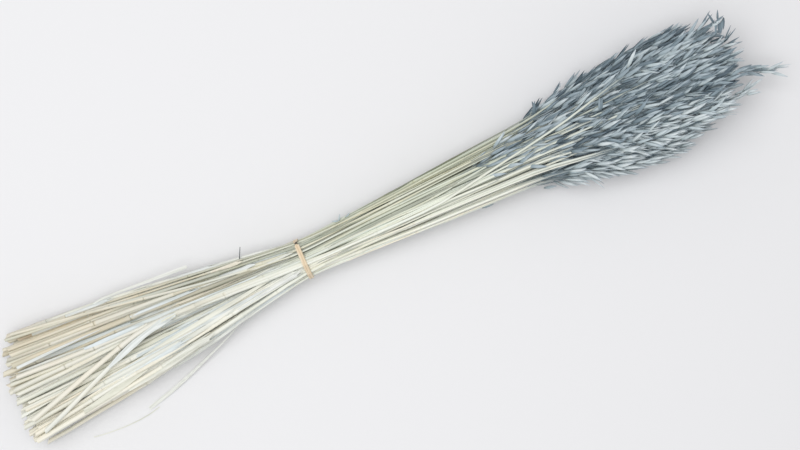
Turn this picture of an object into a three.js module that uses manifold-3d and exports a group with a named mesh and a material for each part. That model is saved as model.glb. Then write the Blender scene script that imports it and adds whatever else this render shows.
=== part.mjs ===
// A bundle of dried oats lying on its side. Millimetres, +Z up, +X along the bundle from the
// cut ends to the tips of the heads. The origin is under the middle of the bundle, on the
// surface that it lies on.
//
// Each oat stalk is one solid: a straw with its panicle, the loose cluster of grain husks at
// its end. The stalks lie in seven layers, as they settle on a table. A layer is a flat fan
// that is drawn together where the rubber band holds it, and the layers keep clear of each
// other all the way, so that no two stalks meet.

import * as THREE from "three";
import { mergeVertices } from "three/addons/utils/BufferGeometryUtils.js";
import Module from "manifold-3d";

const wasm = await Module();
wasm.setup();

// Driving dimensions of the bundle.
const longest = 700; // from the cut ends to the furthest tip
const bandAt = 267; // from the cut ends to the rubber band
const straightTo = 480; // the straws run straight from the band to here
const headsFrom = 530; // where the heads fill the bundle
const halfGap = 0.25; // each stalk keeps this far from halfway to its neighbour

// How the bundle spreads. halfWidth is that of the widest layer, middle its centre line seen
// from above, pitch the height from one layer to the next, and low the height of the lowest.
const spread = [
  { x: 0, halfWidth: 45, middle: -8, pitch: 4.6, low: 1.52 },
  { x: 90, halfWidth: 38.5, middle: -6, pitch: 4.4, low: 1.52 },
  { x: 180, halfWidth: 28.5, middle: -5, pitch: 4.0, low: 3.6 },
  { x: bandAt, halfWidth: 15, middle: -1.8, pitch: 3.9, low: 8 },
  { x: straightTo, halfWidth: 26, middle: 2.2, pitch: 6.6, low: 5.6 },
  { x: headsFrom, halfWidth: 36.5, middle: 1.5, pitch: 7.8, low: 4.6 },
  { x: 590, halfWidth: 45, middle: 0, pitch: 9.2, low: 3.9 },
  { x: 650, halfWidth: 46.5, middle: 1, pitch: 9.6, low: 4.1 },
  { x: longest, halfWidth: 46.5, middle: 1, pitch: 9.6, low: 4.3 },
];

// The layers, from the table up. Widths are shares of halfWidth, and shift moves a layer's
// cut ends sideways, so that the layers cross each other seen from above.
const layers = [
  { count: 6, atButt: 0.86, atBand: 0.6, atHead: 0.72, shift: 3 },
  { count: 8, atButt: 0.95, atBand: 0.84, atHead: 0.9, shift: -3 },
  { count: 10, atButt: 1, atBand: 0.96, atHead: 1, shift: 2 },
  { count: 10, atButt: 1, atBand: 1, atHead: 1, shift: -1 },
  { count: 10, atButt: 0.98, atBand: 0.96, atHead: 0.97, shift: 3 },
  { count: 8, atButt: 0.92, atBand: 0.84, atHead: 0.86, shift: -3 },
  { count: 6, atButt: 0.8, atBand: 0.6, atHead: 0.62, shift: 1 },
];
// How far a stalk strays from its even place in the layer, as a share of the step to the next.
const stray = { atButt: 0.27, atHead: 0.12 };

// Straw radius along the stalk. It is constant over the flat run at the cut ends.
const straw = [
  { x: 0, radius: 1.75 },
  { x: 90, radius: 1.75 },
  { x: 180, radius: 1.5 },
  { x: bandAt, radius: 1.3 },
  { x: straightTo, radius: 1 },
  { x: headsFrom, radius: 0.9 },
];
const sides = 6;
const strawRings = [0, 90, 180, bandAt, straightTo];
const ringsApart = 10; // the last ring is left out where the head begins nearer than this

// The cut ends are not level: the cut slants over the bundle, and each straw differs a little.
const cut = { slant: 0.3, uneven: 9 };

const panicle = {
  whorls: 4,
  lastWhorl: 1.3, // the last whorl is this much longer than the others
  shortest: 112,
  longest: 150,
  earliest: 472, // no head begins before this
  coreRadii: [1.5, 2.2, 2.3, 1.9], // the husks pressed against the stalk, whorl by whorl
  reach: [0.72, 0.95, 1, 0.85], // share of the free room that each whorl's husks take
  mostReach: 6.5,
  hollowAt: 0.42, // where the surface dips between two husks, as a share of the whorl
  tipAt: 1.06, // where a husk ends
  tipRadius: 0.35,
};

// Where the heads end. They reach furthest in the middle of the bundle.
const headEnd = { middle: 668, fallUp: 0.01, fallDown: 0.03, uneven: 17, measuredAt: 600 };
// Heads that stick out of the bundle: which layer, how far off its middle, where the tip is,
// and how far the tip has swung sideways.
const stragglers = [
  { layer: 3, y: -6, tip: longest, swing: -19 },
  { layer: 4, y: -29, tip: 673, swing: 0 },
  { layer: 4, y: 39, tip: 660, swing: 4 },
  { layer: 5, y: 20, tip: 670, swing: 2 },
];
const swingFrom = 655;

// Dried leaf blades still on a stalk: the layer, the side of the bundle, and the blade's line
// as points from the straw outwards. The first point is the root, on the straw's own centre.
const blades = [
  {
    layer: 3,
    side: -1,
    width: 5,
    line: [
      [206, null, null],
      [186, -33.5, 15],
      [152, -47, 5.5],
      [122, -57.5, 1.2],
      [94, -64.5, 0.42],
    ],
  },
  {
    layer: 4,
    side: 1,
    width: 4,
    line: [
      [52, null, null],
      [92, 37, 21.5],
      [135, 34.6, 22],
      [178, 32, 22.5],
    ],
  },
];
const bladeShape = {
  thickness: 0.8,
  rootHalf: 0.5, // half the width where it grows out of the straw
  narrowest: 0.55, // share of the width beside the root
  rootTilt: 0.6, // radians that the blade leans there; it lies flat at its tip
};

const band = {
  width: 4,
  thickness: 1.5,
  groove: 0.5,
  clear: 0.75, // the straws fan out under the band's edges
  steps: 26,
};

const weld = 1e-4; // points closer than this are one

// A repeatable random number from 0 to 1, from Marsaglia's xorshift.
let seed = 20240611;
function random() {
  seed ^= seed << 13;
  seed ^= seed >>> 17;
  seed ^= seed << 5;
  return (seed >>> 0) / 2 ** 32;
}
const either = (amount) => (2 * random() - 1) * amount;

// The value of one column of a table at x, on straight lines between its rows.
function at(table, column, x) {
  const last = table.at(-1);
  if (x >= last.x) return last[column];
  const next = Math.max(
    1,
    table.findIndex((row) => row.x > x),
  );
  const [a, b] = [table[next - 1], table[next]];
  return a[column] + ((x - a.x) / (b.x - a.x)) * (b[column] - a[column]);
}

// How far x is from the band towards the cut ends or the heads, from 0 to 1.
const towardsButt = (x) => Math.max(0, 1 - x / bandAt);
const towardsHead = (x) => THREE.MathUtils.clamp((x - bandAt) / (headsFrom - bandAt), 0, 1);

// Lays out every stalk: its place in its layer, and the centre of its straw at any x. The
// lowest layer lies on a flat side of its straws.
function layOut() {
  return layers.flatMap((layer, level) => {
    const row = [];
    const step = 2 / (layer.count - 1);
    for (let i = 0; i < layer.count; i++) {
      const inner = i > 0 && i < layer.count - 1;
      const stalk = {
        level,
        row,
        index: i,
        across: -1 + step * i,
        atButt: inner ? either(stray.atButt * step) : 0,
        atHead: inner ? either(stray.atHead * step) : 0,
        turn: level === 0 ? 0 : random() * (360 / sides),
        swing: 0,
      };
      stalk.centre = (x) => centreOf(stalk, layer, x);
      row.push(stalk);
    }
    return row;
  });
}

function centreOf(stalk, layer, x) {
  const butt = towardsButt(x);
  const head = towardsHead(x);
  const share = layer.atBand * (1 - butt - head) + layer.atButt * butt + layer.atHead * head;
  const across = stalk.across + stalk.atButt * butt + stalk.atHead * head;
  const swing = (stalk.swing * Math.max(0, x - swingFrom)) / (longest - swingFrom);
  const fan = at(spread, "halfWidth", x) * share * across;
  return new THREE.Vector3(
    x,
    at(spread, "middle", x) + fan + layer.shift * butt + swing,
    at(spread, "low", x) + at(spread, "pitch", x) * stalk.level,
  );
}

// Where each stalk starts and where its head begins and ends.
function setLengths(stalks) {
  for (const stalk of stalks) {
    const y = stalk.centre(headEnd.measuredAt).y;
    const fall = y > 0 ? headEnd.fallUp : headEnd.fallDown;
    stalk.tip = headEnd.middle - fall * y * y - random() * headEnd.uneven;
    stalk.start = Math.max(0, stalk.centre(0).y) * cut.slant + random() * cut.uneven;
    const headLength = THREE.MathUtils.lerp(panicle.shortest, panicle.longest, random());
    stalk.headLength = Math.min(headLength, stalk.tip - panicle.earliest);
  }
  for (const one of stragglers) {
    const offLine = (stalk) => Math.abs(stalk.centre(headEnd.measuredAt).y - one.y);
    const inLayer = stalks.filter((stalk) => stalk.level === one.layer);
    inLayer.sort((a, b) => offLine(a) - offLine(b));
    Object.assign(inLayer[0], { tip: one.tip, swing: one.swing });
  }
}

// The free room beside, above and below a stalk at x, halfway to its neighbours.
function room(stalk, x, angle) {
  const here = stalk.centre(x);
  const beside = stalk.row[stalk.index + (Math.cos(angle) > 0 ? 1 : -1)];
  const toBeside = beside ? Math.abs(beside.centre(x).y - here.y) / 2 : Infinity;
  return {
    y: Math.min(panicle.mostReach, toBeside - halfGap),
    z: Math.min(panicle.mostReach, at(spread, "pitch", x) / 2 - halfGap),
  };
}

// One ring of points round a stalk. place(j) gives each point's distance ahead of x and its
// reach sideways and upwards.
function ring(stalk, x, place) {
  return Array.from({ length: sides }, (_, j) => {
    const angle = THREE.MathUtils.degToRad((360 / sides) * j + stalk.turn);
    const { ahead, reachY, reachZ } = place(j, angle);
    const centre = stalk.centre(x + ahead);
    return new THREE.Vector3(
      x + ahead,
      centre.y + reachY * Math.cos(angle),
      centre.z + reachZ * Math.sin(angle),
    );
  });
}

const roundRing = (stalk, x, radius) =>
  ring(stalk, x, () => ({ ahead: 0, reachY: radius, reachZ: radius }));

// The rings of a whole stalk, from the cut end to the tip of the panicle. Each whorl of the
// panicle has three husks, which point forwards and out, and the next whorl's lie between.
function stalkRings(stalk) {
  const headStart = stalk.tip - stalk.headLength;
  const rings = strawRings
    .filter((x) => x < headStart - ringsApart)
    .map((x) => roundRing(stalk, Math.max(x, stalk.start), at(straw, "radius", x)));
  const whorl = stalk.headLength / (panicle.whorls - 1 + panicle.lastWhorl);
  for (let k = 0; k < panicle.whorls; k++) {
    const x = headStart + k * whorl;
    const core = panicle.coreRadii[k];
    const base = k === 0 ? at(straw, "radius", headStart) : core;
    rings.push(roundRing(stalk, x, base));
    rings.push(
      ring(stalk, x, (j, angle) => {
        if (j % 2 !== k % 2)
          return { ahead: panicle.hollowAt * whorl, reachY: core, reachZ: core };
        const ahead = panicle.tipAt * whorl;
        const free = room(stalk, x + ahead, angle);
        const reach = panicle.reach[k];
        return { ahead, reachY: reach * free.y, reachZ: reach * free.z };
      }),
    );
  }
  rings.push(roundRing(stalk, stalk.tip, panicle.tipRadius));
  return rings;
}

// A closed skin over a row of rings: a cylinder whose rings of points are put in place.
function skin(rings) {
  const around = rings[0].length;
  const geometry = new THREE.CylinderGeometry(1, 1, 1, around, rings.length - 1);
  geometry.deleteAttribute("normal");
  geometry.deleteAttribute("uv");
  const position = geometry.getAttribute("position");
  const centres = rings.map((points) =>
    points
      .reduce((sum, point) => sum.add(point), new THREE.Vector3())
      .divideScalar(around),
  );
  for (let i = 0; i < position.count; i++) {
    const k = Math.round((position.getY(i) + 0.5) * (rings.length - 1));
    const [z, y] = [position.getX(i), position.getZ(i)];
    const onAxis = Math.hypot(y, z) < 0.5;
    const j = Math.round((Math.atan2(z, y) / (2 * Math.PI)) * around + around) % around;
    const point = onAxis ? centres[k] : rings[k][j];
    position.setXYZ(i, point.x, point.y, point.z);
  }
  return mergeVertices(geometry, weld);
}

// A leaf blade: a thin strip that widens away from its root inside the straw.
function bladeRings(blade, stalk) {
  const last = blade.line.length - 1;
  const thick = bladeShape.thickness / 2;
  return blade.line.map(([x, y, z], k) => {
    const root = stalk.centre(x);
    const centre = new THREE.Vector3(x, y ?? root.y, z ?? root.z);
    const width = THREE.MathUtils.lerp(bladeShape.narrowest, 1, k / last) * blade.width;
    const half = k === 0 ? bladeShape.rootHalf : width / 2;
    const tilt = bladeShape.rootTilt * (1 - k / last);
    const across = new THREE.Vector3(0, Math.cos(tilt), -blade.side * Math.sin(tilt));
    const up = new THREE.Vector3(0, -across.z, across.y);
    const corners = [
      [half, thick],
      [-half, thick],
      [-half, -thick],
      [half, -thick],
    ];
    return corners.map(([a, b]) =>
      centre.clone().addScaledVector(across, a).addScaledVector(up, b),
    );
  });
}

function solidOf(geometry) {
  return new wasm.Manifold(
    new wasm.Mesh({
      numProp: 3,
      vertProperties: new Float32Array(geometry.getAttribute("position").array),
      triVerts: new Uint32Array(geometry.index.array),
    }),
  );
}

function geometryOf(solid) {
  const mesh = solid.getMesh();
  return new THREE.BufferGeometry()
    .setAttribute("position", new THREE.BufferAttribute(mesh.vertProperties, 3))
    .setIndex(new THREE.BufferAttribute(mesh.triVerts, 1));
}

function stalkGeometry(stalk) {
  const plain = skin(stalkRings(stalk));
  const outermost = (side) => stalk.index === (side < 0 ? 0 : stalk.row.length - 1);
  const blade = blades.find((one) => one.layer === stalk.level && outermost(one.side));
  if (!blade) return plain;
  const rings = bladeRings(blade, stalk);
  if (rings[0][0].x > rings.at(-1)[0].x) rings.reverse();
  return geometryOf(solidOf(plain).add(solidOf(skin(rings))));
}

// The rubber band, wound twice. Its outline is a cord drawn tight round the outermost straws,
// and its section is flat, with a groove between the two turns.
function bandGeometry(stalks) {
  const radius = at(straw, "radius", bandAt) + band.clear;
  const centres = stalks.map((stalk) => stalk.centre(bandAt));
  const half = band.width / 2;
  const section = [
    [-half, 0],
    [-half, band.thickness],
    [0, band.thickness - band.groove],
    [half, band.thickness],
    [half, 0],
  ];
  const geometry = new THREE.TorusGeometry(1, 0.5, section.length, band.steps);
  geometry.deleteAttribute("normal");
  geometry.deleteAttribute("uv");
  const position = geometry.getAttribute("position");
  const row = band.steps + 1;
  for (let i = 0; i < position.count; i++) {
    const angle = ((i % row) % band.steps) * ((2 * Math.PI) / band.steps);
    const [along, out] = section[Math.floor(i / row) % section.length];
    const [ny, nz] = [Math.cos(angle), Math.sin(angle)];
    const outermost = centres.reduce((best, c) =>
      c.y * ny + c.z * nz > best.y * ny + best.z * nz ? c : best,
    );
    position.setXYZ(
      i,
      bandAt + along,
      outermost.y + (radius + out) * ny,
      outermost.z + (radius + out) * nz,
    );
  }
  return mergeVertices(geometry, weld);
}

const strawMaterial = () =>
  new THREE.MeshStandardMaterial({ color: 0xb9c3c4, roughness: 0.75, metalness: 0 });
const rubberMaterial = () =>
  new THREE.MeshStandardMaterial({ color: 0xd2b184, roughness: 0.6, metalness: 0 });

const bundle = new THREE.Group();
bundle.name = "dried_oat_bundle";
const stalks = layOut();
setLengths(stalks);
stalks.forEach((stalk, i) => {
  const mesh = new THREE.Mesh(stalkGeometry(stalk), strawMaterial());
  mesh.name = `oat_stalk_${String(i + 1).padStart(2, "0")}`;
  bundle.add(mesh);
});
const rubberBand = new THREE.Mesh(bandGeometry(stalks), rubberMaterial());
rubberBand.name = "rubber_band";
bundle.add(rubberBand);

// Puts the origin under the middle of the bundle.
const box = new THREE.Box3().setFromObject(bundle, true);
const middle = box.getCenter(new THREE.Vector3());
bundle.position.set(-middle.x, -middle.y, -box.min.z);

export default bundle;
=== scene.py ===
import math
from functools import partial

import bmesh
import bpy
import numpy as np
from mathutils import Matrix


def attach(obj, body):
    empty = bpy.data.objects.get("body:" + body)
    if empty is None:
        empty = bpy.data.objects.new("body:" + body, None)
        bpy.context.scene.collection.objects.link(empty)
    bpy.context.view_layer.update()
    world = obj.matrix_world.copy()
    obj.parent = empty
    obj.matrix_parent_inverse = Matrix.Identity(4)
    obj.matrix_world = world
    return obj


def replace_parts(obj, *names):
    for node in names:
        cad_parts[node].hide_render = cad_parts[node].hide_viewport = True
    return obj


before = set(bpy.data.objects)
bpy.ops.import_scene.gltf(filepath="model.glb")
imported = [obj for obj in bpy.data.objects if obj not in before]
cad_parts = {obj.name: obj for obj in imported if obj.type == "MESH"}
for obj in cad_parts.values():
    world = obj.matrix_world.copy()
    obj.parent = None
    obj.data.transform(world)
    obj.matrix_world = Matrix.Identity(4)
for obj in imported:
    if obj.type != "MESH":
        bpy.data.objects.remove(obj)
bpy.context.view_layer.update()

# A bundle of dried oats lying down: every stalk is a hollow straw with a panicle of papery
# husks. Each packed stalk gives the line that its fine mesh follows, and further stalks lie
# in the gaps between them, as they do in the real bundle.

dice = np.random.default_rng(48)
mm = 0.001

bundle = {
    "cutX": -350.0 * mm,       # the cut ends
    "bandX": -83.0 * mm,       # the rubber band
    "headsX": 160.0 * mm,      # where the heads fill the bundle
    "headHalf": (48 * mm, 30 * mm),   # half the width and height of all the heads
    "tipX": 350.0 * mm,        # the furthest tip
    "lineStep": 5.0 * mm,      # between two points of a stalk's line
    "bendReach": 22.0 * mm,    # over how long a stalk's bend is spread
    "jointBend": (0.02, 0.002),   # radians at a joint: most stalks, and those that cross on top
    "floorGap": 0.15 * mm,     # nothing reaches lower than this
    "outermost": 62.8 * mm,    # or further to a side than this
    "settled": (59 * mm, 8 * mm),   # heads press down above this height, by this much at most
}
lineX = np.arange(bundle["cutX"], bundle["tipX"] + bundle["lineStep"], bundle["lineStep"])


# Meshes as arrays: a template is a small shape, and a pile is many of them to be joined.

def toArrays(bm):
    bmesh.ops.recalc_face_normals(bm, faces=bm.faces[:])
    bm.verts.index_update()
    template = {
        "co": np.array([vert.co[:] for vert in bm.verts]),
        "loops": np.array([vert.index for face in bm.faces for vert in face.verts]),
        "sizes": np.array([len(face.verts) for face in bm.faces]),
    }
    for name, layer in bm.verts.layers.float.items():      # such as "along" and "across"
        template[name] = np.array([vert[layer] for vert in bm.verts])
    bm.free()
    return template


def newPile():
    keys = ("co", "loops", "sizes", "finish", "grain", "tone", "mark", "dye")
    return {"count": 0, **{key: [] for key in keys}}


def addPart(pile, template, co, finish, grain, tone, mark, dye=0.0):
    pile["co"].append(co)
    pile["loops"].append(template["loops"] + pile["count"])
    pile["sizes"].append(template["sizes"])
    pile["finish"].append(np.full(len(template["sizes"]), finish))
    pile["grain"].append(grain)
    pile["tone"].append(np.full(len(co), tone))
    pile["mark"].append(np.broadcast_to(mark, len(co)))
    pile["dye"].append(np.broadcast_to(dye, len(co)))
    pile["count"] += len(co)


def newObject(name, data):
    made = bpy.data.objects.new(name, data)
    bpy.context.scene.collection.objects.link(made)
    return made


def joinedPiece(name, pile, materials):
    co = np.concatenate(pile["co"])
    top, give = bundle["settled"]
    co[:, 2] = np.where(co[:, 2] > top, top + give * np.tanh((co[:, 2] - top) / give), co[:, 2])
    co[:, 2] = np.maximum(co[:, 2], bundle["floorGap"])
    co[:, 1] = np.clip(co[:, 1], -bundle["outermost"], bundle["outermost"])
    loops = np.concatenate(pile["loops"])
    sizes = np.concatenate(pile["sizes"])
    mesh = bpy.data.meshes.new(name)
    mesh.vertices.add(len(co))
    mesh.vertices.foreach_set("co", co.astype(np.float32).ravel())
    mesh.loops.add(len(loops))
    mesh.loops.foreach_set("vertex_index", loops.astype(np.int32))
    mesh.polygons.add(len(sizes))
    starts = np.concatenate([[0], np.cumsum(sizes)[:-1]])
    mesh.polygons.foreach_set("loop_start", starts.astype(np.int32))
    mesh.polygons.foreach_set("material_index", np.concatenate(pile["finish"]).astype(np.int32))
    mesh.update(calc_edges=True)
    mesh.validate()
    mesh.shade_smooth()
    mesh.set_sharp_from_angle(angle=math.radians(55))
    grain = mesh.attributes.new("grain", "FLOAT_VECTOR", "POINT")
    grain.data.foreach_set("vector", np.concatenate(pile["grain"]).astype(np.float32).ravel())
    for key in ("tone", "mark", "dye"):
        values = mesh.attributes.new(key, "FLOAT", "POINT")
        values.data.foreach_set("value", np.concatenate(pile[key]).astype(np.float32))
    for material in materials:
        mesh.materials.append(material)
    piece = newObject(name, mesh)
    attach(piece, "root")
    return piece


# The lines that the stalks follow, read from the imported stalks.

def readStalk(node):
    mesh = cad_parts[node].data
    points = np.zeros(len(mesh.vertices) * 3)
    mesh.vertices.foreach_get("co", points)
    points = np.unique(points.reshape(-1, 3).round(6), axis=0)
    rings, blade = [], []
    for x in np.unique(points[:, 0]):
        ring = points[points[:, 0] == x]
        if len(ring) >= 6:     # round the straw
            rings.append(ring.mean(0))
        elif len(ring) > 3:    # round a leaf blade
            blade.append(ring)
    return np.array(rings), blade


def softened(values, reach):      # a weighted mean with reach values on both sides
    kernel = np.hanning(2 * reach + 3)[1:-1]
    return np.convolve(values, kernel / kernel.sum(), "valid")


def lineThrough(rings):
    ends = [(rings[0], rings[1]), (rings[-1], rings[-2])]
    lead = [a + (a - b) / abs(a[0] - b[0]) * 0.2 for a, b in ends]   # runs on past both ends
    points = np.vstack([lead[0], rings, lead[1]])
    reach = int(bundle["bendReach"] / bundle["lineStep"])
    x = np.arange(lineX[0] - reach * bundle["lineStep"],
                  lineX[-1] + (reach + 0.5) * bundle["lineStep"], bundle["lineStep"])
    smooth = [softened(np.interp(x, points[:, 0], points[:, axis]), reach)[:len(lineX)]
              for axis in (1, 2)]
    return np.column_stack([lineX, *smooth])


def butt(x):       # 0 at the band, 1 at the cut ends
    return np.clip((bundle["bandX"] - x) / (bundle["bandX"] - bundle["cutX"]), 0, 1)


def head(x):       # 0 at the band, 1 where the heads are full
    return np.clip((x - bundle["bandX"]) / (bundle["headsX"] - bundle["bandX"]), 0, 1)


def pointOn(line, x):
    return np.array([x] + [np.interp(x, line[:, 0], line[:, axis]) for axis in (1, 2)])


def newStalk(line, start, headStart, tip):
    return {"line": line, "start": start, "headStart": headStart, "tip": tip,
            "blade": [], "bare": 0.0, "early": 0.0, "splay": 1.0, "thin": False,
            "bends": bundle["jointBend"][0], "flap": None, "tone": dice.random()}


def packedStalks():
    stalks = []
    for node in sorted(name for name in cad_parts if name.startswith("oat_stalk")):
        rings, blade = readStalk(node)
        headStart = rings[-5, 0]     # the head has four rings and the tip
        stalk = newStalk(lineThrough(rings), rings[0, 0], headStart, rings[-1, 0])
        stalk["name"], stalk["blade"] = node, blade
        stalks.append(stalk)
    atBand = [pointOn(stalk["line"], bundle["bandX"])[2] for stalk in stalks]
    for stalk, level in zip(stalks, np.unique(np.round(atBand, 4), return_inverse=True)[1]):
        stalk["level"] = int(level)
    return stalks


stalks = packedStalks()
levels = max(stalk["level"] for stalk in stalks) + 1
layers = [[s for s in stalks if s["level"] == level] for level in range(levels)]
print("stalks read:", len(stalks), "in layers of", [len(layer) for layer in layers])

filler = {
    "jitter": (5 * mm, 24 * mm, 1.2 * mm),   # how far a cut end strays: usual, most, in height
    "crossing": 0.3,                      # share of the stalks that cross the others
    "topLift": (3.4 * mm, 0.6 * mm, 0.4 * mm),   # the topmost: at cut ends, at heads, overall
    "topSwing": (-3, 5, -6, 8, 23, -7, 4, -8, 2),   # mm, how far each has swung at its head
    "swing": (20 * mm, 190 * mm),         # where that begins, and over what length
    "tipJitter": 9 * mm,
    "bare": [(4.5, 0), (5, 12), (6, 36), (6.5, 75)],   # layer, and its most bare straw in mm
    "early": (0, 34),            # mm that the first husks come before the head proper
    "late": 16,                  # mm that they come after it on the -Y side
    "lateSide": (24 * mm, 22 * mm),       # where that side ends, and over what width
    "first": [(96, 17), (106, 9), (116, 23), (126, 3)],   # mm, where husks show among straws
    "edge": (284 * mm, 49 * mm),      # where heads end at the edge, and what counts as the edge
    "splay": (1.15, 1.5),             # how the last husks stand out: uppermost and longest head
    "shorter": 20 * mm,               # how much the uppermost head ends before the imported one
}
packedY = np.array([stalk["line"][:, 1] for stalk in stalks])
edgeY = packedY.min(0), packedY.max(0)


def between(layer, share):
    place = share * (len(layer) - 1)
    low = min(int(place), len(layer) - 2)
    part = place - low
    a, b = layer[low], layer[low + 1]
    mix = {key: a[key] * (1 - part) + b[key] * part for key in ("start", "headStart")}
    mix["line"] = a["line"] * (1 - part) + b["line"] * part
    mix["tip"] = min(a["tip"], b["tip"])
    return mix


def heldIn(line, past, x=lineX):      # nothing leaves the bundle's outline by more than past
    low, high = (np.interp(x, lineX, edge) for edge in edgeY)
    line[:, 1] = np.clip(line[:, 1], low - past, high + past)


def strayed(line):
    usual, most, rise = filler["jitter"]
    side = most if dice.random() < filler["crossing"] else usual
    line = line.copy()
    line[:, 1] += dice.uniform(-1, 1) * side * butt(line[:, 0]) ** 1.2
    line[:, 2] += dice.uniform(-1, 1) * rise * butt(line[:, 0])
    return line


def bareLength(level):
    most = np.interp(level, *zip(*filler["bare"]))
    return most * mm * dice.random() ** 1.8


def earlyLength(line):       # the heads on the -Y side all begin at the same place
    ends, width = filler["lateSide"]
    share = np.clip((pointOn(line, bundle["headsX"])[1] + ends) / width, 0, 1)
    return (dice.uniform(*filler["early"]) * share - filler["late"] * (1 - share)) * mm


thinStalk = {                    # their short heads are lost among the others
    "many": 46,
    "layers": 4,                 # they lie in so many of the upper layers
    "aside": 9,                  # mm that a head strays
    "above": (1.9, 1.3),         # mm above the layer at the cut end, and less by so much at the head
    "start": (-4, 10),           # mm from the others' cut ends
    "head": (10, 34),            # mm, how long the head is
}


def thinStalks():
    group = []
    for _ in range(thinStalk["many"]):
        level = dice.integers(levels - thinStalk["layers"], levels)
        mix = between(layers[level], dice.random())
        line = strayed(mix["line"])
        line[:, 1] += dice.uniform(-1, 1) * thinStalk["aside"] * mm * head(line[:, 0]) ** 1.2
        line[:, 2] += (thinStalk["above"][0] - thinStalk["above"][1] * head(line[:, 0])) * mm
        tip = mix["headStart"] + dice.uniform(*thinStalk["head"]) * mm
        start = mix["start"] + dice.uniform(*thinStalk["start"]) * mm
        stalk = newStalk(line, start, mix["headStart"], tip)
        stalk["thin"] = True
        group.append(stalk)
    return group


def fillerStalks():
    groups = []
    for level in range(levels):
        below, above = layers[level], layers[min(level + 1, levels - 1)]
        onTop = level == levels - 1
        many = len(filler["topSwing"]) if onTop else max(len(below), len(above)) - 1
        group = []
        for i in range(many):
            share = (i + 0.5) / many
            a, b = between(below, share), between(above, share)
            line = strayed((a["line"] + b["line"]) / 2)
            if onTop:
                x = line[:, 0]
                atCut, atHead, overall = filler["topLift"]
                begins, length = filler["swing"]
                swung = np.maximum(x - begins, 0) / length
                line[:, 1] += filler["topSwing"][i] * mm * swung ** 1.3
                line[:, 2] += atCut * butt(x) + atHead * head(x) + overall
            tip = min(a["tip"], b["tip"]) + dice.uniform(-1, 0.3) * filler["tipJitter"]
            start = (a["start"] + b["start"]) / 2 + dice.uniform(-4, 4) * mm
            stalk = newStalk(line, start, (a["headStart"] + b["headStart"]) / 2, tip)
            stalk["bare"] = bareLength(level + 0.5)
            stalk["early"] = earlyLength(line)
            group.append(stalk)
        groups.append(group)
    return groups


def highestNear(x, y, reach):
    near = [stalk for stalk in sum(fillers, stalks)
            if abs(pointOn(stalk["line"], x)[1] - y) < reach]
    return max(near, key=lambda stalk: pointOn(stalk["line"], x)[2])


def topAt(x, y):      # height of the highest stalk's line near a place
    return pointOn(highestNear(x, y, 7 * mm)["line"], x)[2]


# Long straws that lie across the others, on top: mm along, then mm aside or above.
crossing = [
    {"side": [(-350, 14), (-83, 1), (37, 0.9), (94, 11.5), (135, 17.8), (166, 23.5), (211, 36),
              (350, 46)],       # bare over the heads, from their middle to the +Y side
     "above": [(-350, 2.2), (60, 2.6), (110, 5), (160, 8), (205, 10), (250, 3), (350, 1)],
     "ends": (-338, 205, 286), "tone": 0.52, "flap": None},
    {"side": [(-350, -27), (-313, -16.5), (-223, 8.7), (-160, 7), (-83, 3), (100, -4), (350, -8)],
     "above": [(-350, 4.4), (-223, 5), (-83, 2), (60, -3), (350, -6)],
     "ends": (-340, 190, 250), "tone": 0.93, "flap": None},
    {"side": [(-350, -44), (-299, -24.6), (-239, -1.5), (-204, 8), (-150, 8), (-83, 5), (350, 12)],
     "above": [(-350, 4.6), (-239, 5.2), (-83, 2), (60, -3), (350, -6)],
     "ends": (-334, 180, 240), "tone": 0.62, "flap": (-240, 38)},
]


def crossingStalk(course):
    side, above = (np.interp(lineX, *(np.array(course[key]) * mm).T) for key in ("side", "above"))
    line = np.column_stack([lineX, side, side])
    heldIn(line, 0)
    line[:, 2] = [topAt(x, y) for x, y in line[:, :2]]
    line[:, 2] += above
    reach = 6      # over so many points on both sides its bends are eased
    for axis in (1, 2):
        line[:, axis] = softened(np.pad(line[:, axis], reach, mode="edge"), reach)
    start, headStart, tip = (end * mm for end in course["ends"])
    stalk = newStalk(line, start, headStart, tip)
    stalk["tone"], stalk["flap"] = course["tone"], course["flap"]
    stalk["bends"] = bundle["jointBend"][1]
    return stalk


fillers = fillerStalks()
for stalk in stalks:
    stalk["bare"] = bareLength(stalk["level"])
    stalk["early"] = earlyLength(stalk["line"])
uppermost = max((stalk for stalk in stalks if stalk["tip"] > 300 * mm),
                key=lambda stalk: pointOn(stalk["line"], stalk["tip"])[1])
longest = max(stalks, key=lambda stalk: stalk["tip"])
uppermost["splay"], longest["splay"] = filler["splay"]
uppermost["tip"] -= filler["shorter"]
edgeEnd, edgeSide = filler["edge"]
for stalk in sum(fillers, stalks):        # the heads end sooner at the bundle's +Y edge
    if pointOn(stalk["line"], edgeEnd)[1] > edgeSide:
        stalk["tip"] = min(stalk["tip"], edgeEnd)
for x, y in filler["first"]:      # where the first heads show among the straws
    nearby = min(fillers[-2] + layers[-1],
                 key=lambda stalk: abs(pointOn(stalk["line"], x * mm)[1] - y * mm))
    nearby["bare"], nearby["early"] = 0.0, nearby["headStart"] - (x - 25) * mm
fillers.append(thinStalks())
fillers[-2] += [crossingStalk(course) for course in crossing]
print("stalks between them:", [len(group) for group in fillers])


# A straw: its profile is turned round the X axis, and the tube is then bent along the line.

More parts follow.
